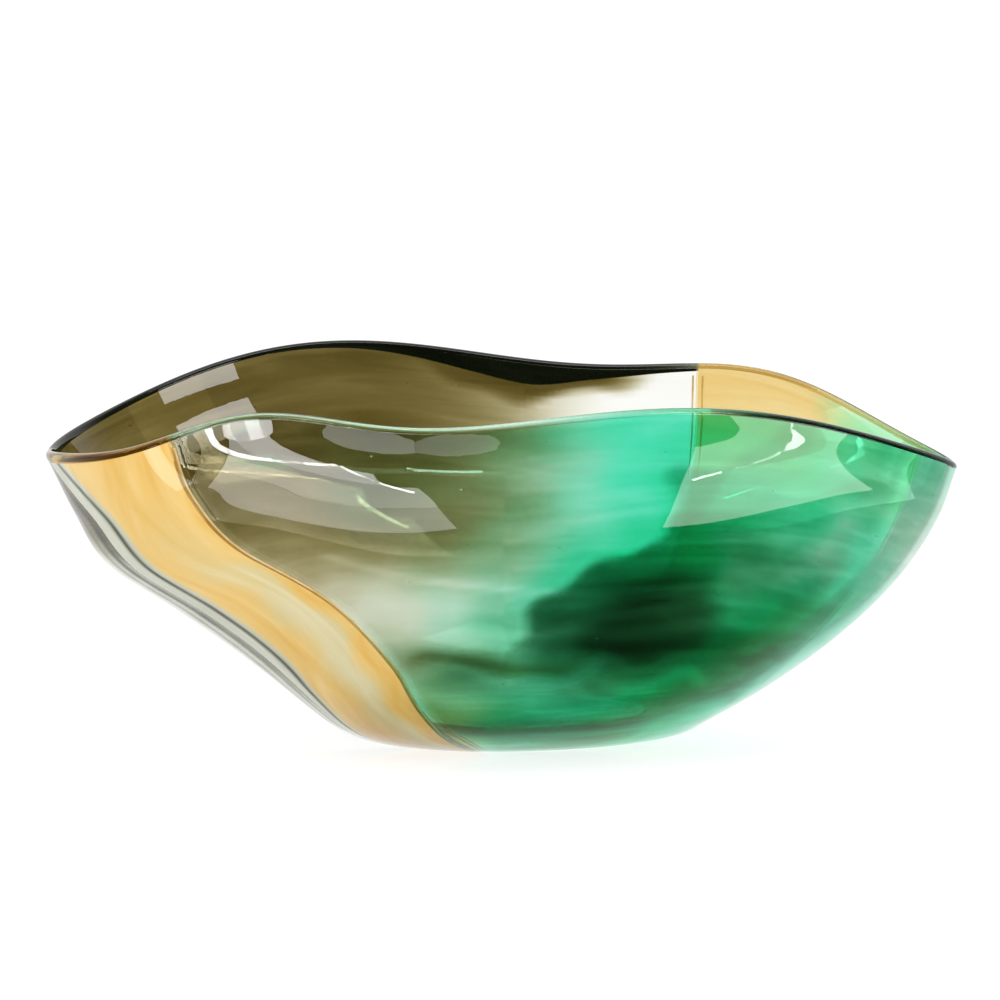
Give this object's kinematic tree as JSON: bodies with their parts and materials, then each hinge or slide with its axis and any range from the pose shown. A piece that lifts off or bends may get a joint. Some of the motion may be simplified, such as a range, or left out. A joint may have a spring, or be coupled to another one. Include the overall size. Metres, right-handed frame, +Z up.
{
  "type": "art glass bowl",
  "caption": "Long free-form blown glass bowl, boat-shaped with two pointed ends and a waving lip, fused from amber, smoke, green and clear glass panels.",
  "frame": {"origin": "centre of the ground base, where the bowl rests", "axes": "+X along the bowl to the right tip, +Y to the back with the higher lip, +Z up"},
  "size_m": [0.4195, 0.2192, 0.1735],
  "materials": {
    "clear_glass": "fire-polished clear glass, faint grey, with seeds",
    "base_glass": "thick clear glass, ground and polished flat underneath",
    "amber_glass": "fire-polished milky amber glass with cream streaks",
    "smoke_glass": "fire-polished olive smoke glass, paler towards the base",
    "green_glass": "fire-polished emerald glass with dark green streaks",
    "light_green_glass": "fire-polished mint and grass green glass",
    "dark_glass": "fire-polished green-black glass",
    "gold_thread": "thin gold-amber glass thread fused into the wall"
  },
  "bodies": {
    "root": {"base_disc": "base_glass", "clear_end_panel": "clear_glass", "amber_front_panel": "amber_glass", "smoke_front_panel": "smoke_glass", "green_front_panel": "green_glass", "green_end_panel": "light_green_glass", "amber_back_panel": "amber_glass", "clear_back_panel": "clear_glass", "smoke_back_panel": "smoke_glass", "dark_lip_band": "dark_glass", "front_seam_threads": "gold_thread", "back_seam_threads": "gold_thread", "lip_dark_back": "dark_glass", "lip_amber": "amber_glass", "lip_clear": "clear_glass", "lip_dark_front": "dark_glass", "lip_amber_back": "amber_glass"}
  },
  "joints": []
}
